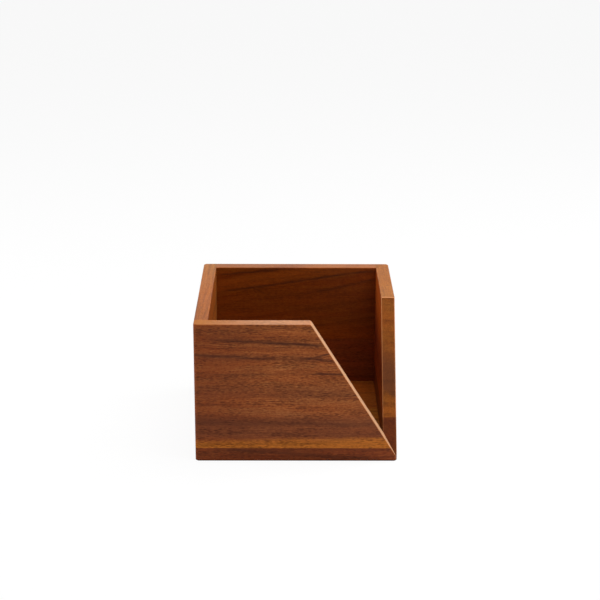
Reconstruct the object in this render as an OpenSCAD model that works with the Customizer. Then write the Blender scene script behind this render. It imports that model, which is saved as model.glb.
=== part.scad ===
// Open-topped wooden holder for a stack of square folded napkins.
// Four walls, each glued up from two staves, stand round a base panel held in a groove.
// Three corners are butt joints with dowels. The fourth, at the front right, is a mitre,
// and two slanting cuts take it away so that a napkin can be pinched and pulled out.
// Origin: centre of the footprint, on the surface the holder stands on. +Z is up, -Y is the front.

/* [Outside] */
// Width of the holder, left to right
holder_w = 152; // [130:1:200]
// Depth of the holder, front to back
holder_d = 152; // [130:1:200]
// Height of the walls where they are not cut
holder_h = 109; // [95:1:150]
// Thickness of each wall
wall_t = 10.5; // [9:0.5:14]
// Radius of the eased edges
edge_r = 0.8; // [0.4:0.1:1.2]
// Radius of the round upright corners
upright_r = 3; // [1.5:0.5:4]

/* [Cut-away corner] */
// Distance from the left side to the start of the cut on the front wall's top
front_cut_start = 86.5; // [60:0.5:110]
// Distance from the front to the start of the cut on the right wall's top
side_cut_start = 65; // [40:1:100]
// Height of wall left at the front right corner, where both cuts end
corner_h = 3; // [2.5:0.5:8]
// Radius of the shoulder where the cut leaves the front wall's top
front_shoulder_r = 3.5; // [1:0.5:6]
// Radius of the shoulder where the cut leaves the right wall's top
side_shoulder_r = 2; // [1:0.5:6]

/* [Glue lines of the walls] */
// Height of the glue line in the front wall
front_seam_z = 10.5; // [10:0.5:40]
// Height of the glue line in the right wall
right_seam_z = 29; // [24:1:60]
// Height of the glue line in the back wall
back_seam_z = 47; // [24:1:70]
// Height of the glue line in the left wall
left_seam_z = 58; // [24:1:70]

/* [Base] */
// Thickness of the base panel
base_t = 6; // [4:0.5:6.5]
// Height of the base panel's underside above the ground
base_lift = 3; // [2.5:0.5:3.5]
// Depth of the groove that holds the base panel in each wall
groove_depth = 4; // [2:0.5:5]
// Clearance between the base panel and its groove, on every side
base_gap = 0.15; // [0.1:0.05:0.3]
// Distance from the front of the holder to the glue line in the base panel
base_seam_y = 82; // [40:1:110]

/* [Dowels] */
// Diameter of a dowel
dowel_d = 6; // [4:0.5:6]
// Length of a dowel
dowel_l = 20; // [14:1:30]
// How deep a dowel goes into the face of the wall that it meets side on
dowel_face_depth = 6.5; // [4:0.5:7]
// Clearance round a dowel and past each of its ends
dowel_gap = 0.1; // [0.05:0.05:0.2]
// Height of the lower dowel in each joint
dowel_low_z = 19; // [15:1:20]
// Height of the upper dowel in each joint
dowel_high_z = 84; // [76:1:84]

/* [Hidden] */
$fn = 64;

// Angle at which the round of an eased edge meets the faces beside it
meet_angle = 12;

// How far a cutting shape runs past the wood
over = 5;

// Room between the walls
well_w = holder_w - 2 * wall_t;
well_d = holder_d - 2 * wall_t;

// Colours of the wood
brown_wood = [0.45, 0.24, 0.12];
red_wood = [0.36, 0.16, 0.09];
golden_wood = [0.52, 0.29, 0.13];
pale_wood = [0.80, 0.66, 0.47];

// How steeply a cut falls over its run, in degrees
function cut_tilt(run) = atan2(holder_h - corner_h, run);

// Each wall is drawn as if it were the front one: its left end at the origin, its outer
// face on y = 0 and its inner face on y = wall_t. These modules carry it to its own side.
module at_front() {
    translate([-holder_w / 2, -holder_d / 2, 0])
        children();
}

module at_right() {
    translate([holder_w / 2, -holder_d / 2, 0])
        rotate([0, 0, 90])
            children();
}

module at_back() {
    translate([holder_w / 2, holder_d / 2, 0])
        rotate([0, 0, 180])
            children();
}

module at_left() {
    translate([-holder_w / 2, holder_d / 2, 0])
        rotate([0, 0, 270])
            children();
}

// Outline of what a cut takes away, seen square on. The shoulder is at x = 0, and the
// cut falls along run to the corner. The round of the shoulder is centred inset from
// both of its sides.
module cut_outline(run, r) {
    tilt = cut_tilt(run);
    inset = r * cos(meet_angle);
    centre = [-inset * tan(tilt / 2), holder_h - inset];
    polygon([
        [-over / tan(tilt), holder_h + over],
        [run + over, corner_h - over * tan(tilt)],
        [run + over, holder_h + over]
    ]);
    difference() {
        polygon([
            [centre.x, holder_h],
            [0, holder_h + over],
            centre + inset * [sin(tilt), cos(tilt)]
        ]);
        translate(centre)
            circle(r = r);
    }
}

// All that lies above a cut, carried back from the wall's face right through the holder
module above_cut(run, r, through) {
    translate([0, through + over, 0])
        rotate([90, 0, 0])
            linear_extrude(through + 2 * over)
                cut_outline(run, r);
}

module above_front_cut() {
    at_front()
        translate([front_cut_start, 0, 0])
            above_cut(holder_w - front_cut_start, front_shoulder_r, holder_d);
}

module above_side_cut() {
    at_right()
        translate([side_cut_start, 0, 0])
            mirror([1, 0, 0])
                above_cut(side_cut_start, side_shoulder_r, holder_w);
}

// The wedge that the two cuts take out of the front right corner
module corner_cut() {
    intersection() {
        above_front_cut();
        above_side_cut();
    }
}

// What rounding takes off a corner at the origin, with the wood in the +x +y quarter
module round_waste(r) {
    inset = r * cos(meet_angle);
    difference() {
        translate([-over, -over])
            square(over + inset);
        translate([inset, inset])
            circle(r = r);
    }
}

// What easing takes off an edge that runs along +X, with the wood below it and behind it
module eased_edge(length) {
    rotate([90, 0, 90])
        linear_extrude(length)
            mirror([0, 1])
                round_waste(edge_r);
}

// What easing takes off the top of the round upright corner, about that corner's own axis
module eased_round() {
    rotate([0, 0, 180])
        rotate_extrude(angle = 90)
            translate([upright_r, 0])
                rotate(180)
                    round_waste(edge_r);
}

// The top line of a cut wall: level past the shoulder, and from before it down the cut
module eased_cut_line(level, run) {
    translate([-level, 0, holder_h])
        eased_edge(level + over);
    translate([0, 0, holder_h])
        rotate([0, cut_tilt(run), 0])
            translate([-over, 0, 0])
                eased_edge(norm([run, holder_h - corner_h]) + 2 * over);
}

module front_top_line() {
    translate([front_cut_start, 0, 0])
        eased_cut_line(front_cut_start, holder_w - front_cut_start);
}

module right_top_line() {
    translate([side_cut_start, 0, 0])
        mirror([1, 0, 0])
            eased_cut_line(holder_d - side_cut_start, side_cut_start);
}

module straight_top_line(wall_length) {
    translate([0, 0, holder_h])
        eased_edge(wall_length);
}

// A wall's top line on both faces: on the inner one only between the neighbouring walls
module both_faces(wall_length) {
    children();
    intersection() {
        translate([0, wall_t, 0])
            mirror([0, 1, 0])
                children();
        translate([wall_t, 0, 0])
            cube([wall_length - 2 * wall_t, wall_t + over, holder_h + over]);
    }
}

// The round upright corner at a wall's left end, with its top and its foot eased
module round_upright() {
    inset = upright_r * cos(meet_angle);
    translate([0, 0, -over])
        linear_extrude(holder_h + 2 * over)
            round_waste(upright_r);
    translate([inset, inset, holder_h])
        eased_round();
    translate([inset, inset, 0])
        mirror([0, 0, 1])
            eased_round();
}

// The bottom edge of a wall's outer face and the upright corner at its left end
module foot_and_end(wall_length) {
    mirror([0, 0, 1])
        eased_edge(wall_length);
    round_upright();
}

module all_easing() {
    at_front() {
        both_faces(holder_w)
            front_top_line();
        foot_and_end(holder_w);
    }
    at_right() {
        both_faces(holder_d)
            right_top_line();
        foot_and_end(holder_d);
    }
    at_back() {
        both_faces(holder_w)
            straight_top_line(holder_w);
        foot_and_end(holder_w);
    }
    at_left() {
        both_faces(holder_d)
            straight_top_line(holder_d);
        foot_and_end(holder_d);
    }
}

// A panel under the well that reaches some way into the walls, grown all round by gap
module base_slab(gap) {
    reach = groove_depth - base_gap + gap;
    translate([-well_w / 2 - reach, -well_d / 2 - reach, base_lift - gap])
        cube([well_w + 2 * reach, well_d + 2 * reach, base_t + 2 * gap]);
}

// One dowel, grown all round by gap. It lies along +Y, centred in the thickness of the
// wall that it enters end on, with the joint on y = 0.
module dowel(gap) {
    translate([0, -dowel_face_depth - gap, 0])
        rotate([-90, 0, 0])
            cylinder(d = dowel_d + 2 * gap, h = dowel_l + 2 * gap);
}

module dowel_pair(gap) {
    for (z = [dowel_low_z, dowel_high_z])
        translate([0, 0, z])
            dowel(gap);
}

// The left wall meets the back of the front wall, and the back wall lies between the
// side walls. The low front right corner is a mitre, held by glue and the base alone.
module all_dowels(gap) {
    at_front()
        translate([wall_t / 2, wall_t, 0])
            dowel_pair(gap);
    at_right()
        translate([holder_d - wall_t / 2, wall_t, 0])
            dowel_pair(gap);
    at_left()
        translate([wall_t / 2, wall_t, 0])
            dowel_pair(gap);
}

// What lies below, and above, the height of a wall's glue line
module below(z) {
    intersection() {
        children();
        translate([-holder_w, -holder_d, 0])
            cube([2 * holder_w, 2 * holder_d, z]);
    }
}

module above(z) {
    intersection() {
        children();
        translate([-holder_w, -holder_d, z])
            cube([2 * holder_w, 2 * holder_d, holder_h]);
    }
}

// A wall with the cut, the easing, the groove and the dowel holes taken out of it
module worked() {
    difference() {
        children();
        corner_cut();
        all_easing();
        base_slab(base_gap);
        all_dowels(dowel_gap);
    }
}

// The front wall is square at its left end and mitred at the cut corner
module front_wall() {
    worked()
        at_front()
            linear_extrude(holder_h)
                polygon([[0, 0], [holder_w, 0], [holder_w - wall_t, wall_t], [0, wall_t]]);
}

module right_wall() {
    worked()
        at_right()
            linear_extrude(holder_h)
                polygon([[0, 0], [holder_d, 0], [holder_d, wall_t], [wall_t, wall_t]]);
}

module back_wall() {
    worked()
        at_back()
            translate([wall_t, 0, 0])
                cube([well_w, wall_t, holder_h]);
}

module left_wall() {
    worked()
        at_left()
            cube([holder_d - wall_t, wall_t, holder_h]);
}

module front_lower_stave() {
    color(red_wood)
        below(front_seam_z)
            front_wall();
}

module front_upper_stave() {
    color(brown_wood)
        above(front_seam_z)
            front_wall();
}

module right_lower_stave() {
    color(red_wood)
        below(right_seam_z)
            right_wall();
}

module right_upper_stave() {
    color(golden_wood)
        above(right_seam_z)
            right_wall();
}

module back_lower_stave() {
    color(red_wood)
        below(back_seam_z)
            back_wall();
}

module back_upper_stave() {
    color(brown_wood)
        above(back_seam_z)
            back_wall();
}

module left_lower_stave() {
    color(golden_wood)
        below(left_seam_z)
            left_wall();
}

module left_upper_stave() {
    color(brown_wood)
        above(left_seam_z)
            left_wall();
}

// The base panel, split at its glue line into a front and a back stave
module base_stave(from_y, to_y) {
    intersection() {
        base_slab(0);
        translate([-holder_w, from_y - holder_d / 2, 0])
            cube([2 * holder_w, to_y - from_y, holder_h]);
    }
}

module base_front_stave() {
    color(golden_wood)
        base_stave(0, base_seam_y);
}

module base_back_stave() {
    color(brown_wood)
        base_stave(base_seam_y, holder_d);
}

module corner_dowels() {
    color(pale_wood)
        all_dowels(0);
}

front_lower_stave();
front_upper_stave();
right_lower_stave();
right_upper_stave();
back_lower_stave();
back_upper_stave();
left_lower_stave();
left_upper_stave();
base_front_stave();
base_back_stave();
corner_dowels();
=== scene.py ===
"""A square wooden holder with a cut-away front corner, in a plain bright studio."""

import math

import bpy
from mathutils import Matrix, Vector


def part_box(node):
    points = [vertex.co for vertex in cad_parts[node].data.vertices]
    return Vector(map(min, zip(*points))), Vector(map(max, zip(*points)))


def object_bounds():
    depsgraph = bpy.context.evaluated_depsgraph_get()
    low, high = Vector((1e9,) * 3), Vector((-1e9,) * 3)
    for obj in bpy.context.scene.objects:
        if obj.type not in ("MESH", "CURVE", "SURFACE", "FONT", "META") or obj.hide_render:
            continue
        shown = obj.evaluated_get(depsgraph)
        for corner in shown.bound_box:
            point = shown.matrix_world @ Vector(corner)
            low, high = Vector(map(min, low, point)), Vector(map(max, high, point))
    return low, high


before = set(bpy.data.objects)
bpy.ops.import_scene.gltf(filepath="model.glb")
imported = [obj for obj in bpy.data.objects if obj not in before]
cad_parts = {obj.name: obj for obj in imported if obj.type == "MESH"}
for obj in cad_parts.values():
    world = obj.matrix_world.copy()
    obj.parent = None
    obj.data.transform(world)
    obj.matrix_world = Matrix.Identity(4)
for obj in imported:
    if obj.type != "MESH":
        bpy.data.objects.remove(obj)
cad_low, cad_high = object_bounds()
scene = bpy.context.scene

MM = 0.001  # one millimetre, in the scene's metres

# How far the cuts at the front right corner run and fall, in millimetres
FRONT_CUT_RUN = 65.5
RIGHT_CUT_RUN = 65.0
CUT_DROP = 106.0

# Ways that a surface may face
ALONG = (1, 0, 0)
INWARD = (0, 1, 0)
UP = (0, 0, 1)
TO_LEFT = (-1, 0, 0)
FRONT_CUT_FACE = tuple(Vector((CUT_DROP, 0, FRONT_CUT_RUN)).normalized())
RIGHT_CUT_FACE = tuple(Vector((0, -CUT_DROP, RIGHT_CUT_RUN)).normalized())

HALF_WIDTH = cad_high.x
HALF_DEPTH = cad_high.y

# Places of the glue lines between the staves in millimetres, read from the pieces themselves
FRONT_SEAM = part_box("front_lower_stave")[1].z / MM
RIGHT_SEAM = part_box("right_lower_stave")[1].z / MM
BACK_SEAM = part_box("back_lower_stave")[1].z / MM
LEFT_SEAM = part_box("left_lower_stave")[1].z / MM
BASE_SEAM = (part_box("base_front_stave")[1].y + HALF_DEPTH) / MM

# The camera's place and lens, for a square picture
CAMERA_AT = (-0.0044, -1.1275, 0.4794)
CAMERA_TILT_DOWN = math.radians(18.47)
CAMERA_TURN_RIGHT = math.radians(0.37)
CAMERA_ROLL = math.radians(0.22)
LENS_MM = 91.3
SENSOR_MM = 36

# How long the spots of each soft pattern are, in millimetres along, through and up a board
SLOW_DRIFT = (70, 60, 45)
QUICK_DRIFT = (22, 14, 9)
SIDE_DRIFT = (90, 50, 60)
BROAD_FIGURE = (160, 30, 13)
FIBRE_BUNDLES = (40, 2.6, 2.2)
FIBRES = (24, 0.9, 0.8)
HAIRS = (3, 0.42, 0.4)
MOTTLING = (1.6, 4, 1.5)
WARM_PATCHES = (60, 16, 7)
PORE_CROWDS = (45, 9, 5)
STREAK_BENDS = (24, 60, 60)
STREAK_RAGS = (9, 2, 0.9)
STREAK_BREAKS = (13, 4, 1.0)
BAND_FRAYS = (16, 5, 1.3)
BAND_WAVES = (45, 20, 20)
DULL_PATCHES = (35, 20, 25)
GLUE_BREAKS = (12, 3, 3)
BEECH_SPECKS = (2.2, 0.5, 0.5)

SATIN = 0.12  # how much an oiled or bare wood mirrors, as the shader counts it


# ---- Small helpers for node trees ----


def add(tree, kind, **settings):
    """A new node of this kind, with its own settings."""
    node = tree.nodes.new("ShaderNode" + kind)
    for name, value in settings.items():
        setattr(node, name, value)
    return node


def feed(tree, socket, value):
    """Links a socket, or sets its number or colour."""
    if isinstance(value, bpy.types.NodeSocket):
        tree.links.new(value, socket)
    else:
        socket.default_value = value


def calc(tree, operation, *values, clamp=False):
    """One step of arithmetic on sockets and numbers."""
    node = add(tree, "Math", operation=operation, use_clamp=clamp)
    for socket, value in zip(node.inputs, values):
        feed(tree, socket, value)
    return node.outputs[0]


def times(tree, first, second, clamp=False):
    return calc(tree, "MULTIPLY", first, second, clamp=clamp)


def ramp(tree, value, start, end, low=0.0, high=1.0):
    """Goes smoothly from low to high as value goes from start to end."""
    node = add(tree, "MapRange", interpolation_type="SMOOTHSTEP")
    settings = {"Value": value, "From Min": start, "From Max": end, "To Min": low, "To Max": high}
    for name, number in settings.items():
        feed(tree, node.inputs[name], number)
    return node.outputs["Result"]


def mix(tree, amount, under, over, blend="MIX"):
    """One colour over another by an amount from 0 to 1."""
    node = add(tree, "Mix", data_type="RGBA", blend_type=blend)
    feed(tree, node.inputs["Factor"], amount)
    feed(tree, node.inputs["A"], under)
    feed(tree, node.inputs["B"], over)
    return node.outputs["Result"]


def mix_vectors(tree, amount, start, end):
    """A vector between two others. A Mix node keeps its vectors in sockets 4 and 5, and puts out in 1."""
    node = add(tree, "Mix", data_type="VECTOR")
    feed(tree, node.inputs["Factor"], amount)
    feed(tree, node.inputs[4], start)
    feed(tree, node.inputs[5], end)
    return node.outputs[1]


def split(tree, position):
    """The three parts of a position."""
    node = add(tree, "SeparateXYZ")
    feed(tree, node.inputs[0], position)
    return node.outputs[0], node.outputs[1], node.outputs[2]


def join(tree, x, y, z):
    """A position from its three parts."""
    node = add(tree, "CombineXYZ")
    for socket, value in zip(node.inputs, (x, y, z)):
        feed(tree, socket, value)
    return node.outputs[0]


def noise(tree, position, spot, seed, detail=2.0):
    """Soft noise from 0 to 1, with spots of this size."""
    node = add(tree, "TexNoise", noise_dimensions="4D")
    place = add(tree, "Mapping", vector_type="POINT")
    feed(tree, place.inputs["Vector"], position)
    place.inputs["Scale"].default_value = [1 / length for length in spot]
    feed(tree, node.inputs["Vector"], place.outputs[0])
    feed(tree, node.inputs["W"], seed)
    node.inputs["Scale"].default_value = 1.0
    node.inputs["Detail"].default_value = detail
    node.inputs["Roughness"].default_value = 0.5
    return node.outputs["Fac"]


def centred(tree, value, size):
    """Turns noise from 0 to 1 into a swing of this size about nothing."""
    return times(tree, calc(tree, "SUBTRACT", value, 0.5), size)


def facing(tree, direction):
    """How much the surface faces a direction: 1 squarely, 0 sideways, -1 away."""
    node = add(tree, "VectorMath", operation="DOT_PRODUCT")
    feed(tree, node.inputs[0], add(tree, "NewGeometry").outputs["Normal"])
    feed(tree, node.inputs[1], direction)
    return node.outputs["Value"]


def wander(tree, position, seed):
    """Lets the fibres drift up, down and sideways slowly along the board, by a few millimetres."""
    slow_swing, quick_swing, side_swing = 9.0, 1.6, 8.0
    side_seed = 7.0
    x, y, z = split(tree, position)
    slow = centred(tree, noise(tree, position, SLOW_DRIFT, seed, detail=1.0), slow_swing)
    quick = centred(tree, noise(tree, position, QUICK_DRIFT, seed, detail=1.0), quick_swing)
    drift = calc(tree, "ADD", slow, quick)
    side = noise(tree, position, SIDE_DRIFT, calc(tree, "ADD", seed, side_seed), detail=1.0)
    side = centred(tree, side, side_swing)
    return join(tree, x, calc(tree, "ADD", y, side), calc(tree, "ADD", z, drift))


VECTOR_INPUTS = ("Position", "Direction")


def new_group(name, inputs, outputs):
    """An empty shader node group with named sockets: its tree, what it gets, and where its result goes."""
    tree = bpy.data.node_groups.new(name, "ShaderNodeTree")
    for label, value in inputs.items():
        kind = "NodeSocketVector" if label in VECTOR_INPUTS else "NodeSocketFloat"
        socket = tree.interface.new_socket(name=label, in_out="INPUT", socket_type=kind)
        if value is not None:
            socket.default_value = value
    for label in outputs:
        kind = "NodeSocketColor" if label == "Color" else "NodeSocketFloat"
        tree.interface.new_socket(name=label, in_out="OUTPUT", socket_type=kind)
    got = tree.nodes.new("NodeGroupInput").outputs
    given = tree.nodes.new("NodeGroupOutput").inputs
    return tree, got, given


def use_group(tree, group, values):
    """Places a group in a tree with its own values, and gives its outputs."""
    node = add(tree, "Group", node_tree=group)
    for label, value in values.items():
        feed(tree, node.inputs[label], value)
    return node.outputs


# ---- Effects that the boards share ----


def make_grain_group():
    """Growth rings, fibres and mottled figure as one tone from dark 0 to light 1, with its relief."""
    tree, got, given = new_group(
        "Wood Grain",
        {
            "Position": None, "Seed": 0.0, "Pith Depth": 20.0, "Pith Height": -160.0, "Taper": 0.02,
            "Ring Width": 7.0, "Ring Strength": 0.25, "Fibre Strength": 1.0, "Mottle": 0.4,
        },
        ("Tone", "Warmth", "Height"),
    )
    seed = got["Seed"]
    place = wander(tree, got["Position"], seed)

    # Rings lie round the pith. Each darkens slowly through its year, then starts again pale
    x, y, z = split(tree, place)
    away_y = calc(tree, "SUBTRACT", y, got["Pith Depth"])
    away_z = calc(tree, "SUBTRACT", z, got["Pith Height"])
    squares = calc(tree, "ADD", times(tree, away_y, away_y), times(tree, away_z, away_z))
    radius = calc(tree, "MULTIPLY_ADD", x, got["Taper"], calc(tree, "SQRT", squares))
    rings = calc(tree, "DIVIDE", radius, got["Ring Width"])
    phase = calc(tree, "FRACT", rings)
    autumn_starts, year_ends = 0.25, 0.9
    darkens = ramp(tree, phase, autumn_starts, year_ends)
    pales = ramp(tree, phase, year_ends, 1.0, 1.0, 0.0)
    late = times(tree, darkens, pales)
    year = add(tree, "TexWhiteNoise", noise_dimensions="1D")
    feed(tree, year.inputs["W"], calc(tree, "ADD", calc(tree, "FLOOR", rings), seed))
    faintest_year = 0.15
    late = times(tree, late, ramp(tree, year.outputs["Value"], 0.0, 1.0, faintest_year, 1.0))

    middle_tone = 0.56
    broad_swing, bundle_swing, fibre_swing, hair_swing = 0.4, 0.3, 0.65, 1.0
    broad = noise(tree, place, BROAD_FIGURE, seed)
    bundle = noise(tree, place, FIBRE_BUNDLES, seed, detail=1.0)
    fibre = noise(tree, place, FIBRES, seed, detail=1.0)
    hair = noise(tree, place, HAIRS, seed, detail=1.0)
    mottle = noise(tree, place, MOTTLING, seed, detail=1.0)
    tone = calc(tree, "ADD", middle_tone, centred(tree, broad, broad_swing))
    tone = calc(tree, "SUBTRACT", tone, times(tree, late, got["Ring Strength"]))
    fibres = calc(tree, "ADD", centred(tree, bundle, bundle_swing), centred(tree, fibre, fibre_swing))
    fibres = calc(tree, "ADD", fibres, centred(tree, hair, hair_swing))
    tone = calc(tree, "MULTIPLY_ADD", fibres, got["Fibre Strength"], tone)
    tone = calc(tree, "MULTIPLY_ADD", centred(tree, mottle, 1.0), got["Mottle"], tone, clamp=True)
    tree.links.new(tone, given["Tone"])

    warm_seed = 5.0
    cool, warm = 0.38, 0.62
    patches = noise(tree, place, WARM_PATCHES, calc(tree, "ADD", seed, warm_seed))
    tree.links.new(ramp(tree, patches, cool, warm), given["Warmth"])

    hair_relief = 0.5
    relief = calc(tree, "MULTIPLY_ADD", centred(tree, hair, 1.0), hair_relief, centred(tree, fibre, 1.0))
    tree.links.new(relief, given["Height"])
    return tree


def make_pore_group():
    """Open pores: short dark lines along the board, and dots where it is cut across."""
    tree, got, given = new_group("Pores", {"Position": None, "Seed": 0.0, "Length": 4.2}, ("Pore",))
    spacing = 0.85
    crowd_seed = 3.0
    few, many = 0.35, 0.65
    smallest, largest = 0.2, 0.62
    sharpness = 1.8
    place = wander(tree, got["Position"], got["Seed"])
    x, y, z = split(tree, place)
    squeezed = join(
        tree,
        calc(tree, "DIVIDE", x, got["Length"]),
        calc(tree, "ADD", calc(tree, "DIVIDE", y, spacing), got["Seed"]),
        calc(tree, "DIVIDE", z, spacing),
    )
    cells = add(tree, "TexVoronoi", feature="F1", voronoi_dimensions="3D")
    feed(tree, cells.inputs["Vector"], squeezed)
    cells.inputs["Scale"].default_value = 1.0
    cells.inputs["Randomness"].default_value = 1.0
    crowd = noise(tree, place, PORE_CROWDS, calc(tree, "ADD", got["Seed"], crowd_seed))
    reach = ramp(tree, crowd, few, many, smallest, largest)
    off = calc(tree, "DIVIDE", cells.outputs["Distance"], reach)
    inside = calc(tree, "SUBTRACT", 1.0, off, clamp=True)
    tree.links.new(times(tree, inside, sharpness, clamp=True), given["Pore"])
    return tree


def make_streak_group():
    """One dark streak of mineral colour that runs along the board and feathers out at both ends."""
    tree, got, given = new_group(
        "Dark Streak",
        {
            "Position": None, "Seed": 0.0, "Start": 0.0, "End": 100.0, "Height": 50.0, "Slope": 0.0,
            "Thickness": 1.5, "Strength": 0.6, "Depth": 0.0, "Lean": 0.0,
        },
        ("Mask",),
    )
    place, seed = got["Position"], got["Seed"]
    bend_size, rag_size = 2.6, 1.8
    before_end, start_feather, end_feather = -4.0, 22.0, 16.0
    thin, whole, faintest = 0.25, 0.6, 0.35
    x, y, z = split(tree, place)
    bend = centred(tree, noise(tree, place, STREAK_BENDS, seed), bend_size)
    ragged = centred(tree, noise(tree, place, STREAK_RAGS, seed), rag_size)
    past_start = calc(tree, "SUBTRACT", x, got["Start"])
    before_stop = calc(tree, "SUBTRACT", got["End"], x)
    middle = calc(tree, "MULTIPLY_ADD", past_start, got["Slope"], got["Height"])
    rise = times(tree, calc(tree, "SUBTRACT", z, middle), calc(tree, "COSINE", got["Lean"]))
    inward = times(tree, calc(tree, "SUBTRACT", y, got["Depth"]), calc(tree, "SINE", got["Lean"]))
    off = calc(tree, "ADD", calc(tree, "ADD", rise, inward), calc(tree, "ADD", bend, ragged))
    near = calc(tree, "DIVIDE", off, got["Thickness"])
    body = calc(tree, "EXPONENT", times(tree, times(tree, near, near), -1.0))
    fade_in = ramp(tree, past_start, before_end, start_feather)
    fade_out = ramp(tree, before_stop, before_end, end_feather)
    ends = times(tree, fade_in, fade_out)
    broken = noise(tree, place, STREAK_BREAKS, seed, detail=3.0)
    broken = ramp(tree, broken, thin, whole, faintest, 1.0)
    mask = times(tree, times(tree, body, ends), times(tree, broken, got["Strength"]), clamp=True)
    tree.links.new(mask, given["Mask"])
    return tree


def make_band_group():
    """A band of another tone between two heights, with edges that feather along the fibres."""
    tree, got, given = new_group(
        "Tone Band",
        {
            "Position": None, "Seed": 0.0, "Bottom": 0.0, "Top": 20.0, "Slope": 0.0,
            "Lean": 0.0, "Bottom Blur": 1.0, "Top Blur": 2.0, "Feather": 2.0, "Strength": 1.0,
        },
        ("Mask",),
    )
    place, seed = got["Position"], got["Seed"]
    x, y, z = split(tree, place)
    frayed = centred(tree, noise(tree, place, BAND_FRAYS, seed, detail=3.0), 1.0)
    waves = centred(tree, noise(tree, place, BAND_WAVES, seed, detail=1.0), 1.0)
    shift = times(tree, calc(tree, "ADD", frayed, waves), got["Feather"])
    level = calc(tree, "SUBTRACT", z, times(tree, x, got["Slope"]))
    level = calc(tree, "SUBTRACT", level, times(tree, y, got["Lean"]))
    level = calc(tree, "ADD", level, shift)
    over_bottom = calc(tree, "DIVIDE", calc(tree, "SUBTRACT", level, got["Bottom"]), got["Bottom Blur"])
    under_top = calc(tree, "DIVIDE", calc(tree, "SUBTRACT", got["Top"], level), got["Top Blur"])
    # Each edge fades over its blur, half of it to either side
    mask = times(tree, ramp(tree, over_bottom, -0.5, 0.5), ramp(tree, under_top, -0.5, 0.5))
    tree.links.new(times(tree, mask, got["Strength"], clamp=True), given["Mask"])
    return tree


def make_shade_group():
    """Grain and pores as a grey shade, for laying over a plain colour."""
    tree, got, given = new_group("Grain Shade", {"Tone": 0.5, "Pore": 0.0}, ("Color",))
    dark, light, pore_dark = (0.5, 0.5, 0.5, 1), (1.45, 1.45, 1.45, 1), (0.3, 0.3, 0.3, 1)
    pore_share = 0.8
    shade = mix(tree, got["Tone"], dark, light)
    shade = mix(tree, times(tree, got["Pore"], pore_share), shade, pore_dark)
    tree.links.new(shade, given["Color"])
    return tree


def make_sheen_group():
    """How dull the oiled surface is: soft patches, duller in the pores and on end grain."""
    tree, got, given = new_group(
        "Oiled Sheen", {"Position": None, "Seed": 0.0, "Pore": 0.0, "End Grain": 0.0}, ("Roughness",)
    )
    middle, patch_swing, pore_dullness, end_dullness = 0.46, 0.14, 0.2, 0.12
    patches = noise(tree, got["Position"], DULL_PATCHES, got["Seed"])
    rough = calc(tree, "ADD", middle, centred(tree, patches, patch_swing))
    rough = calc(tree, "MULTIPLY_ADD", got["Pore"], pore_dullness, rough)
    rough = calc(tree, "MULTIPLY_ADD", got["End Grain"], end_dullness, rough, clamp=True)
    tree.links.new(rough, given["Roughness"])
    return tree


def make_change_group():
    """An amount that changes smoothly along the board, over a run from its left end."""
    tree, got, given = new_group(
        "Change Along", {"Position": None, "Run": 60.0, "Left": 0.0, "Right": 0.0}, ("Amount",)
    )
    along = split(tree, got["Position"])[0]
    tree.links.new(ramp(tree, along, 0.0, got["Run"], got["Left"], got["Right"]), given["Amount"])
    return tree


def make_cut_across_group():
    """How far a surface is cut across the fibres: 0 along them, 1 on end grain."""
    tree, got, given = new_group("Cut Across", {"Direction": None}, ("Mask",))
    slanted, squarely = 0.3, 1.0
    across = calc(tree, "ABSOLUTE", facing(tree, got["Direction"]))
    tree.links.new(ramp(tree, across, slanted, squarely), given["Mask"])
    return tree


def make_facing_group():
    """How squarely a surface faces a direction: 1 on a flat that does, 0 once it is turned well away."""
    tree, got, given = new_group("Facing", {"Direction": None}, ("Mask",))
    well_away, squarely = 0.8, 0.98
    tree.links.new(ramp(tree, facing(tree, got["Direction"]), well_away, squarely), given["Mask"])
    return tree


def make_edge_group():
    """The rounds of the eased edges beside the faces that look this way."""
    tree, got, given = new_group("Eased Edge", {"Direction": None}, ("Mask",))
    round_edge, flat_face = 0.88, 0.99
    apart, beside = 0.4, 0.62
    squarest = 0.0
    for direction in (ALONG, INWARD, UP, FRONT_CUT_FACE, RIGHT_CUT_FACE):
        squarest = calc(tree, "MAXIMUM", calc(tree, "ABSOLUTE", facing(tree, direction)), squarest)
    rounded = ramp(tree, squarest, round_edge, flat_face, 1.0, 0.0)
    near = ramp(tree, facing(tree, got["Direction"]), apart, beside)
    tree.links.new(times(tree, rounded, near), given["Mask"])
    return tree


def make_line_group():
    """The hairline of glue where two boards meet at a height."""
    tree, got, given = new_group("Glue Line", {"Position": None, "Height": 10.0, "Width": 0.16}, ("Mask",))
    break_seed = 2.0
    core, rim = 0.3, 1.0
    gap, whole = 0.35, 0.6
    height = split(tree, got["Position"])[2]
    off = calc(tree, "ABSOLUTE", calc(tree, "SUBTRACT", height, got["Height"]))
    line = ramp(tree, calc(tree, "DIVIDE", off, got["Width"]), core, rim, 1.0, 0.0)
    breaks = ramp(tree, noise(tree, got["Position"], GLUE_BREAKS, break_seed), gap, whole)
    tree.links.new(times(tree, line, breaks), given["Mask"])
    return tree


GRAIN = make_grain_group()
PORES = make_pore_group()
STREAK = make_streak_group()
BAND = make_band_group()
GRAIN_SHADE = make_shade_group()
SHEEN = make_sheen_group()
CHANGE_ALONG = make_change_group()
CUT_ACROSS = make_cut_across_group()
FACING = make_facing_group()
EASED_EDGE = make_edge_group()
GLUE_LINE = make_line_group()


# ---- Colours ----


def srgb(red, green, blue):
    """A colour as a picture shows it, from 0 to 255, as the light that a surface gives back."""
    def to_light(value):
        value /= 255
        return value / 12.92 if value <= 0.04045 else ((value + 0.055) / 1.055) ** 2.4
    return (to_light(red), to_light(green), to_light(blue), 1.0)


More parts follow.
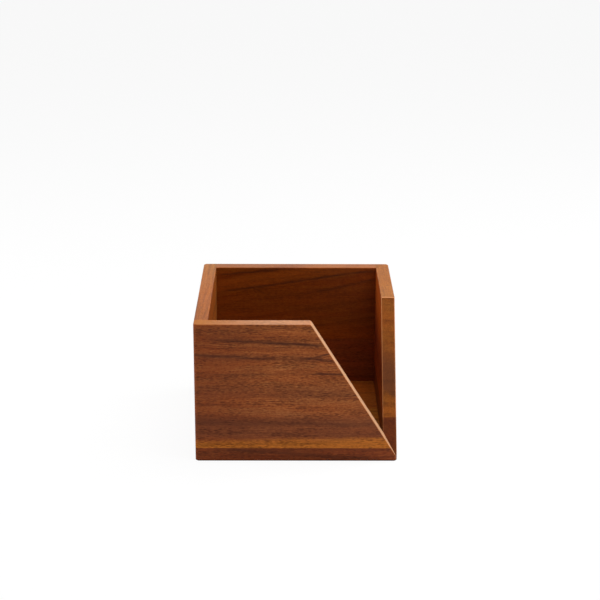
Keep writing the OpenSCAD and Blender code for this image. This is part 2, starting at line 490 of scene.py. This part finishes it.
# Dark, middle and light tones of each wood
FRONT_BROWN = (srgb(78, 34, 16), srgb(148, 80, 36), srgb(196, 120, 64))
DARK_RED = (srgb(80, 34, 14), srgb(122, 56, 22), srgb(150, 78, 36))
DARK_BROWN = (srgb(62, 24, 4), srgb(92, 40, 6), srgb(118, 60, 16))
GOLDEN = (srgb(84, 42, 6), srgb(134, 73, 16), srgb(166, 98, 34))
BACK_BROWN = (srgb(84, 32, 4), srgb(128, 60, 10), srgb(158, 86, 24))
LEFT_BROWN = (srgb(82, 36, 8), srgb(125, 63, 16), srgb(162, 92, 34))
BEECH = (srgb(176, 128, 82), srgb(206, 162, 114), srgb(224, 186, 142))
BEECH_FLECK = srgb(150, 100, 60)

# Colours that are laid over the wood
STREAK_BROWN = srgb(70, 32, 16)
PORE_BROWN = srgb(64, 28, 14)
GLUE_AMBER = srgb(70, 34, 14)
# Pales the eased edges: a painted highlight where they catch the light, with some rubbed wear
EDGE_GLINT_AND_WEAR = srgb(206, 140, 92)
# Pales a face as a painted sheen of the light that it catches
PAINTED_SHEEN_PALE = srgb(188, 144, 108)
SAPWOOD = srgb(190, 108, 30)
LEFT_END_DARK = srgb(116, 44, 8)
LEFT_END_PALE = srgb(160, 102, 46)
# Reddens and darkens a face as painted shade
PAINTED_RED_SHADE = srgb(146, 50, 16)
TOP_AMBER = srgb(147, 88, 8)
TOP_TAN = srgb(160, 88, 36)
# A buff that pales a top: painted sheen
TOP_SHEEN_BUFF = srgb(133, 88, 63)
DIM_BAND = srgb(96, 46, 26)
MID_BAND = srgb(96, 48, 26)
BROWN_BAND = srgb(110, 54, 28)
SMOKY_BAND = srgb(98, 52, 24)
GLOWING_BAND = srgb(152, 74, 18)
RUSSET_BAND = srgb(108, 48, 10)
CONTACT_SHADOW_BROWN = srgb(52, 24, 12)

# Colours that the wood is multiplied by
END_SHADE = (0.5, 0.42, 0.38, 1)
# Pales and cools the faces that look up: painted sheen
TOP_SHEEN_TINT = (0.93, 1.22, 1.5, 1)
WARM_TINT = (1.09, 0.98, 0.88, 1)


# ---- The boards ----

# Each board's own position runs along it from its left end as you face it, then through it
# from its outer face, then up it. The base's runs left to right, up from below, then back.
WALL_TURNS = {"front": 0, "right": 90, "back": 180, "left": 270}

# How strongly each thing shows, out of 1
PORES_SHOW = 0.65
END_SHADE_SHOWS = 0.35
GRAIN_IN_TINTS = 0.45
GLUE_SHOWS = 0.35

# How deep a pore lies against the fibres' own relief, and how strong and high that relief is
PORE_DEPTH = 1.2
RELIEF_STRENGTH = 0.35
RELIEF_HEIGHT_MM = 0.06

# Over how many millimetres from a board's left end its left-end colour and its tints change
LEFT_END_RUN = 75.0
TINT_RUN = 60.0

# How far the seeds of a board's streaks and sheen lie past its own
STREAK_SEED = 10
SHEEN_SEED = 30


def board_position(tree, side):
    """Where a point lies in a board, in millimetres."""
    to_board = add(tree, "Mapping", vector_type="POINT")
    feed(tree, to_board.inputs["Vector"], add(tree, "TexCoord").outputs["Object"])
    to_board.inputs["Scale"].default_value = (1 / MM,) * 3
    across, deep = HALF_WIDTH / MM, HALF_DEPTH / MM
    if side == "base":
        x, y, z = split(tree, to_board.outputs[0])
        return join(tree, calc(tree, "ADD", x, across), z, calc(tree, "ADD", y, deep))
    half_run, half_other = (across, deep) if side in ("front", "back") else (deep, across)
    to_board.inputs["Rotation"].default_value[2] = -math.radians(WALL_TURNS[side])
    to_board.inputs["Location"].default_value = (half_run, half_other, 0)
    return to_board.outputs[0]


def tone_colours(tree, tone, colours):
    """Spreads dark, middle and light colours over the tone."""
    node = add(tree, "ValToRGB")
    feed(tree, node.inputs[0], tone)
    stops = node.color_ramp.elements
    places = (0.0, 0.5, 1.0)
    stops[0].position, stops[1].position = places[0], places[2]
    stops.new(places[1])
    for stop, place, colour in zip(stops, places, colours):
        stop.position = place
        stop.color = colour
    return node.outputs["Color"]


def add_relief(tree, shader, height):
    """Lets the fibres and pores be felt in how the surface takes the light."""
    bump = add(tree, "Bump")
    bump.inputs["Strength"].default_value = RELIEF_STRENGTH
    bump.inputs["Distance"].default_value = RELIEF_HEIGHT_MM * MM
    tree.links.new(height, bump.inputs["Height"])
    tree.links.new(bump.outputs["Normal"], shader.inputs["Normal"])


def streak(start, end, height, slope, thickness, strength, depth=0.0, lean=0.0):
    """A dark streak between two places along the board, in millimetres. It climbs by its slope."""
    return {
        "Start": start, "End": end, "Height": height, "Slope": slope, "Thickness": thickness,
        "Strength": strength, "Depth": depth, "Lean": lean,
    }


def band(colour, bottom, top, strength, bottom_blur=1.0, top_blur=2.0, feather=2.0, slope=0.0, lean=0.0):
    """A band of another colour between two heights, in millimetres. It leans as it goes inward."""
    return colour, {
        "Bottom": bottom, "Top": top, "Strength": strength, "Bottom Blur": bottom_blur,
        "Top Blur": top_blur, "Feather": feather, "Slope": slope, "Lean": lean,
    }


def board_material(name, side, seed, colours, grain, seam, streaks=(), bands=(), tints=(), pores=1.0,
                   left_end=(LEFT_END_DARK, 0.0), glint_and_wear=(UP, 0.1), top=1.0):
    """Oiled acacia for one board: figure, streaks, pores, end grain and a soft sheen.

    Left end is a colour and how much of it lies at the board's left end, where the board darkens or
    pales. A tint is the way that its face looks, its colour, and how much of it lies at the left end
    and beyond. Glint and wear is the face whose eased edges are paled, and how much: a painted
    highlight of edges that catch the light, with some rubbed wear. Top is how much painted sheen
    pales the faces that look up.
    """
    material = bpy.data.materials.new(name)
    material.use_nodes = True
    tree = material.node_tree
    shader = tree.nodes["Principled BSDF"]
    place = board_position(tree, side)
    fibre_direction = INWARD if side in ("left", "right") else ALONG

    figure = use_group(tree, GRAIN, {"Position": place, "Seed": seed, **grain})
    colour = tone_colours(tree, figure["Tone"], colours)
    colour = mix(tree, figure["Warmth"], colour, WARM_TINT, "MULTIPLY")
    # The board darkens or pales towards its left end
    left_end_colour, left_end_amount = left_end
    left_end_mask = use_group(tree, CHANGE_ALONG, {"Position": place, "Run": LEFT_END_RUN, "Left": left_end_amount})["Amount"]
    colour = mix(tree, left_end_mask, colour, left_end_colour)

    pore = times(tree, use_group(tree, PORES, {"Position": place, "Seed": seed})["Pore"], pores)
    shade = use_group(tree, GRAIN_SHADE, {"Tone": figure["Tone"], "Pore": pore})["Color"]
    colour = mix(tree, times(tree, pore, PORES_SHOW), colour, PORE_BROWN)
    for number, (band_colour, values) in enumerate(bands):
        mask = use_group(tree, BAND, {"Position": place, "Seed": seed + number, **values})["Mask"]
        colour = mix(tree, mask, colour, mix(tree, 1.0, band_colour, shade, "MULTIPLY"))
    for number, values in enumerate(streaks):
        own_seed = seed + STREAK_SEED + number
        mask = use_group(tree, STREAK, {"Position": place, "Seed": own_seed, **values})["Mask"]
        colour = mix(tree, mask, colour, STREAK_BROWN)

    ends = use_group(tree, CUT_ACROSS, {"Direction": fibre_direction})["Mask"]
    colour = mix(tree, times(tree, ends, END_SHADE_SHOWS), colour, END_SHADE, "MULTIPLY")
    # Painted sheen: the faces that look up are paled and cooled, as their grazing reflection would show
    top_sheen_mask = use_group(tree, FACING, {"Direction": UP})["Mask"]
    colour = mix(tree, times(tree, top_sheen_mask, top), colour, TOP_SHEEN_TINT, "MULTIPLY")
    for direction, tint, left, right in tints:
        mask = use_group(tree, FACING, {"Direction": direction})["Mask"]
        change = {"Position": place, "Run": TINT_RUN, "Left": left, "Right": right}
        amount = use_group(tree, CHANGE_ALONG, change)["Amount"]
        tint = mix(tree, GRAIN_IN_TINTS, tint, mix(tree, 1.0, tint, shade, "MULTIPLY"))
        colour = mix(tree, times(tree, mask, amount), colour, tint)
    # Painted highlight with some rubbed wear: the eased edges beside one face are paled
    glint_and_wear_side, glint_and_wear_amount = glint_and_wear
    glint_and_wear_mask = use_group(tree, EASED_EDGE, {"Direction": glint_and_wear_side})["Mask"]
    colour = mix(tree, times(tree, glint_and_wear_mask, glint_and_wear_amount), colour, EDGE_GLINT_AND_WEAR)
    glue = use_group(tree, GLUE_LINE, {"Position": place, "Height": seam})["Mask"]
    colour = mix(tree, times(tree, glue, GLUE_SHOWS), colour, GLUE_AMBER)
    tree.links.new(colour, shader.inputs["Base Color"])

    dullness = {"Position": place, "Seed": seed + SHEEN_SEED, "Pore": pore, "End Grain": ends}
    tree.links.new(use_group(tree, SHEEN, dullness)["Roughness"], shader.inputs["Roughness"])
    shader.inputs["Specular IOR Level"].default_value = SATIN
    add_relief(tree, shader, calc(tree, "SUBTRACT", figure["Height"], times(tree, pore, PORE_DEPTH)))
    return material


def dowel_material():
    """Pale beech for the dowels, with short darker flecks. The front pair lies front to back, the
    rest side to side.
    """
    beech_seed, fleck_seed = 40.0, 41.0
    front_side, back_side = -1.0, 1.0
    clear, flecked, fleck_strength = 0.62, 0.72, 0.45
    end_darkness = 0.5
    roughest, smoothest = 0.72, 0.6
    material = bpy.data.materials.new("pale_beech")
    material.use_nodes = True
    tree = material.node_tree
    shader = tree.nodes["Principled BSDF"]
    here = add(tree, "VectorMath", operation="SCALE")
    feed(tree, here.inputs["Vector"], add(tree, "TexCoord").outputs["Object"])
    here.inputs["Scale"].default_value = 1 / MM
    x, y, z = split(tree, here.outputs["Vector"])
    turned = ramp(tree, y, front_side, back_side)
    place = mix_vectors(tree, turned, join(tree, y, x, z), here.outputs["Vector"])
    axis = mix_vectors(tree, turned, INWARD, ALONG)
    fine = {"Ring Width": 2.5, "Ring Strength": 0.2, "Fibre Strength": 0.5, "Mottle": 0.2}
    figure = use_group(tree, GRAIN, {"Position": place, "Seed": beech_seed, **fine})
    colour = tone_colours(tree, figure["Tone"], BEECH)
    specks = noise(tree, place, BEECH_SPECKS, fleck_seed, detail=1.0)
    specks = ramp(tree, specks, clear, flecked, 0.0, fleck_strength)
    colour = mix(tree, specks, colour, BEECH_FLECK)
    ends = use_group(tree, CUT_ACROSS, {"Direction": axis})["Mask"]
    colour = mix(tree, times(tree, ends, end_darkness), colour, END_SHADE, "MULTIPLY")
    tree.links.new(colour, shader.inputs["Base Color"])
    tree.links.new(ramp(tree, figure["Tone"], 0.0, 1.0, roughest, smoothest), shader.inputs["Roughness"])
    shader.inputs["Specular IOR Level"].default_value = SATIN
    add_relief(tree, shader, figure["Height"])
    return material


# ---- What each board looks like ----

# Painted contact shadow: the dark line where the walls meet what they stand on
PAINTED_CONTACT_SHADOW = band(CONTACT_SHADOW_BROWN, 0.25, 0.85, 0.85, bottom_blur=0.25, top_blur=0.7, feather=0.1)

# A streak that shows on a top comes down and out, so that it only just marks the outer face
LEFT_TOP = 109
OUT_OF_THE_TOP = math.radians(-70)

# Start, end, height at the start, slope, thickness and strength of the front wall's streaks
FRONT_STREAKS = (
    streak(8, 102, 97.2, -0.052, 1.1, 0.95),
    streak(52, 98, 95.6, -0.075, 1.0, 0.85),
    streak(-14, 62, 85.6, -0.045, 1.2, 0.8),
    streak(40, 84, 82.4, -0.03, 0.8, 0.5),
    streak(70, 112, 84.0, -0.12, 0.9, 1.1),
    streak(76, 110, 79.6, 0.26, 0.8, 0.95),
    streak(72, 122, 70.2, 0.01, 0.8, 0.95),
    streak(-10, 62, 69.8, 0.0, 0.6, 0.35),
    streak(-10, 90, 46.0, 0.0, 0.5, 0.3),
    streak(-20, 170, 31.8, -0.015, 1.8, 0.5),
    streak(-20, 170, 22.5, 0.0, 0.7, 0.25),
    streak(-10, 70, 13.2, 0.01, 0.5, 0.25),
    streak(60, 150, 14.6, 0.01, 0.5, 0.25),
)

# The pale sapwood lies just above the front wall's glue line, with a dark band over it
FRONT_BANDS = (
    band(DIM_BAND, 80.0, 86.0, 0.2, bottom_blur=3.0, top_blur=4.0, feather=3.0),
    band(MID_BAND, 51.0, 60.0, 0.3, bottom_blur=3.0, top_blur=6.0, feather=3.0),
    band(BROWN_BAND, 18.0, 37.5, 0.65, bottom_blur=4.0, top_blur=11.0, feather=3.0),
    band(SAPWOOD, -5.0, 15.8, 0.9, top_blur=6.0, feather=3.5, slope=0.018),
)

# Lines that climb gently across the back wall, with a lighter band over the longest
BACK_STREAKS = (
    streak(80, 146, 107.6, -0.075, 0.9, 0.7),
    streak(-8, 140, 109.6, -0.15, 1.0, 0.75),
    streak(-8, 70, 103.0, -0.22, 1.0, 0.55),
    streak(88, 122, 80.6, 0.46, 0.8, 0.5),
)
BACK_BANDS = (
    band(GLOWING_BAND, 110.5, 119.0, 0.6, bottom_blur=3.0, top_blur=6.0, slope=-0.15),
    band(RUSSET_BAND, 60.0, 97.0, 0.4, bottom_blur=10.0, top_blur=12.0, feather=4.0, slope=-0.1),
)


def dress():
    """Gives each board its own wood."""
    boards = {
        "front_upper_stave": board_material(
            "front_brown_wood", "front", 1.0, FRONT_BROWN,
            {"Pith Depth": 60.0, "Pith Height": -170.0, "Ring Width": 9.0, "Ring Strength": 0.18},
            FRONT_SEAM, streaks=FRONT_STREAKS, bands=FRONT_BANDS,
            tints=(
                (UP, TOP_AMBER, 0.7, 0.0),
                # Painted highlight: the top pales towards its right end, where light from the right catches
                # it. Painted sheen: the front cut pales all over, as its grazing reflection would
                (UP, PAINTED_SHEEN_PALE, 0.0, 0.45),
                (FRONT_CUT_FACE, PAINTED_SHEEN_PALE, 0.9, 0.9),
            ),
            left_end=(LEFT_END_DARK, 0.5), glint_and_wear=(FRONT_CUT_FACE, 0.35), top=0.15,
        ),
        "front_lower_stave": board_material(
            "front_red_wood", "front", 4.0, DARK_RED, {"Ring Width": 6.0}, FRONT_SEAM,
            streaks=(streak(8, 140, 10.5, -0.07, 1.6, 0.6),), bands=(PAINTED_CONTACT_SHADOW,),
            # Its part of the front cut pales as a painted sheen too
            tints=((FRONT_CUT_FACE, PAINTED_SHEEN_PALE, 0.85, 0.85),), glint_and_wear=(FRONT_CUT_FACE, 0.35),
        ),
        "right_upper_stave": board_material(
            "right_golden_wood", "right", 6.0, GOLDEN, {"Ring Width": 8.0}, RIGHT_SEAM,
            bands=(
                band(SMOKY_BAND, 42.0, 68.0, 0.85, bottom_blur=4.0, top_blur=22.0, feather=6.0, lean=0.45),
            ),
            # Painted shade: the inner face, which looks left into the holder, is reddened and darkened as
            # light bounced between the wooden walls would leave it
            tints=((TO_LEFT, PAINTED_RED_SHADE, 0.5, 0.5),),
            pores=0.2, glint_and_wear=(RIGHT_CUT_FACE, 0.85), top=0.6,
        ),
        "right_lower_stave": board_material(
            "right_dark_wood", "right", 8.0, DARK_BROWN, {}, RIGHT_SEAM,
            bands=(PAINTED_CONTACT_SHADOW,), pores=0.4, glint_and_wear=(RIGHT_CUT_FACE, 0.45),
        ),
        "back_upper_stave": board_material(
            "back_brown_wood", "back", 11.0, BACK_BROWN,
            {
                "Pith Depth": 30.0, "Pith Height": -90.0, "Taper": 0.17, "Ring Width": 8.0,
                "Ring Strength": 0.2, "Fibre Strength": 0.7,
            },
            BACK_SEAM, streaks=BACK_STREAKS, bands=BACK_BANDS,
            # Its top is paled further towards buff: more painted sheen
            tints=((UP, TOP_SHEEN_BUFF, 0.35, 0.35),), pores=0.35,
        ),
        "back_lower_stave": board_material(
            "back_red_wood", "back", 13.0, DARK_RED, {}, BACK_SEAM, bands=(PAINTED_CONTACT_SHADOW,), pores=0.6,
        ),
        "left_upper_stave": board_material(
            "left_brown_wood", "left", 16.0, LEFT_BROWN,
            {
                "Pith Depth": -44.0, "Pith Height": 70.0, "Taper": 0.01, "Ring Width": 3.4,
                "Ring Strength": 0.45,
            },
            LEFT_SEAM,
            streaks=(
                streak(80, 175, LEFT_TOP, 0.0, 1.1, 0.95, depth=0.6, lean=OUT_OF_THE_TOP),
                streak(-10, 110, LEFT_TOP, 0.0, 0.5, 0.4, depth=5.0, lean=OUT_OF_THE_TOP),
            ),
            tints=((UP, TOP_TAN, 0.0, 0.35),), pores=0.4, left_end=(LEFT_END_PALE, 0.25), top=0.75,
        ),
        "left_lower_stave": board_material(
            "left_golden_wood", "left", 18.0, GOLDEN, {"Ring Width": 8.0}, LEFT_SEAM,
            bands=(PAINTED_CONTACT_SHADOW,), pores=0.45,
        ),
        "base_front_stave": board_material(
            "base_golden_wood", "base", 21.0, GOLDEN, {"Ring Width": 8.0}, BASE_SEAM, pores=0.45, top=0.2,
        ),
        "base_back_stave": board_material(
            "base_brown_wood", "base", 23.0, BACK_BROWN, {}, BASE_SEAM, pores=0.6, top=0.2,
        ),
        "corner_dowels": dowel_material(),
    }
    for node_name, material in boards.items():
        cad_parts[node_name].material_slots[0].material = material


# ---- Studio ----

FILL_GREY = (0.12, 0.12, 0.12, 1)
WHITE = (1, 1, 1, 1)
FLOOR_GREY = (0.8, 0.8, 0.8, 1)
FLOOR_SIZE = 8
FLOOR_DULLNESS = 0.9
FLOOR_WHITENESS = 0.93  # how far the camera sees the floor as pure white


def make_camera():
    data = bpy.data.cameras.new("camera")
    data.sensor_width = SENSOR_MM
    data.lens = LENS_MM
    camera = bpy.data.objects.new("camera", data)
    scene.collection.objects.link(camera)
    turn = Matrix.Rotation(-CAMERA_TURN_RIGHT, 4, "Z")
    tilt = Matrix.Rotation(math.radians(90) - CAMERA_TILT_DOWN, 4, "X")
    roll = Matrix.Rotation(CAMERA_ROLL, 4, "Z")
    camera.matrix_world = Matrix.Translation(CAMERA_AT) @ turn @ tilt @ roll
    scene.camera = camera


def make_softbox(name, size, power, at, aim, glints=False):
    """A square area lamp that shines at a point. It isn't seen, nor mirrored unless it glints."""
    data = bpy.data.lights.new(name, "AREA")
    data.shape = "SQUARE"
    data.size = size
    data.energy = power
    lamp = bpy.data.objects.new(name, data)
    scene.collection.objects.link(lamp)
    lamp.location = at
    lamp.rotation_euler = (Vector(aim) - Vector(at)).to_track_quat("-Z", "Y").to_euler()
    lamp.visible_camera = False
    lamp.visible_glossy = glints


def make_world():
    """White where the camera or a gloss looks, and dim for the light that fills the shade."""
    world = bpy.data.worlds.new("studio")
    scene.world = world
    world.use_nodes = True
    tree = world.node_tree
    tree.nodes.clear()
    ray = add(tree, "LightPath")
    mirrored = calc(tree, "MAXIMUM", ray.outputs["Is Glossy Ray"], ray.outputs["Is Transmission Ray"])
    seen = calc(tree, "MAXIMUM", ray.outputs["Is Camera Ray"], mirrored)
    fill = add(tree, "Background")
    fill.inputs["Color"].default_value = FILL_GREY
    white = add(tree, "Background")
    white.inputs["Color"].default_value = WHITE
    choose = add(tree, "MixShader")
    for socket, value in zip(choose.inputs, (seen, fill.outputs[0], white.outputs[0])):
        feed(tree, socket, value)
    feed(tree, add(tree, "OutputWorld").inputs[0], choose.outputs[0])


def make_floor():
    """A plain pale floor. The camera sees it nearly white, with the holder's soft shadow on it."""
    bpy.ops.mesh.primitive_plane_add(size=FLOOR_SIZE)
    floor = bpy.context.object
    floor.name = "floor"
    material = bpy.data.materials.new("pale_floor")
    material.use_nodes = True
    tree = material.node_tree
    shader = tree.nodes["Principled BSDF"]
    shader.inputs["Base Color"].default_value = FLOOR_GREY
    shader.inputs["Roughness"].default_value = FLOOR_DULLNESS
    shader.inputs["Specular IOR Level"].default_value = 0.0
    glow = add(tree, "Emission")
    glow.inputs["Color"].default_value = WHITE
    seen = times(tree, add(tree, "LightPath").outputs["Is Camera Ray"], FLOOR_WHITENESS)
    choose = add(tree, "MixShader")
    for socket, value in zip(choose.inputs, (seen, shader.outputs[0], glow.outputs[0])):
        feed(tree, socket, value)
    tree.links.new(choose.outputs[0], tree.nodes["Material Output"].inputs["Surface"])
    floor.data.materials.append(material)


dress()
make_camera()
make_softbox("overhead_softbox", size=0.9, power=17, at=(0.3, 0, 1.05), aim=(0, 0, 0), glints=True)
make_softbox("right_softbox", size=0.5, power=3.5, at=(0.95, 0.3, 0.6), aim=(0, 0, 0.05))
make_softbox("left_softbox", size=0.3, power=6, at=(-1.0, 0.13, 0.33), aim=(0, 0, 0.1))
make_world()
make_floor()
scene.view_settings.view_transform = "Standard"
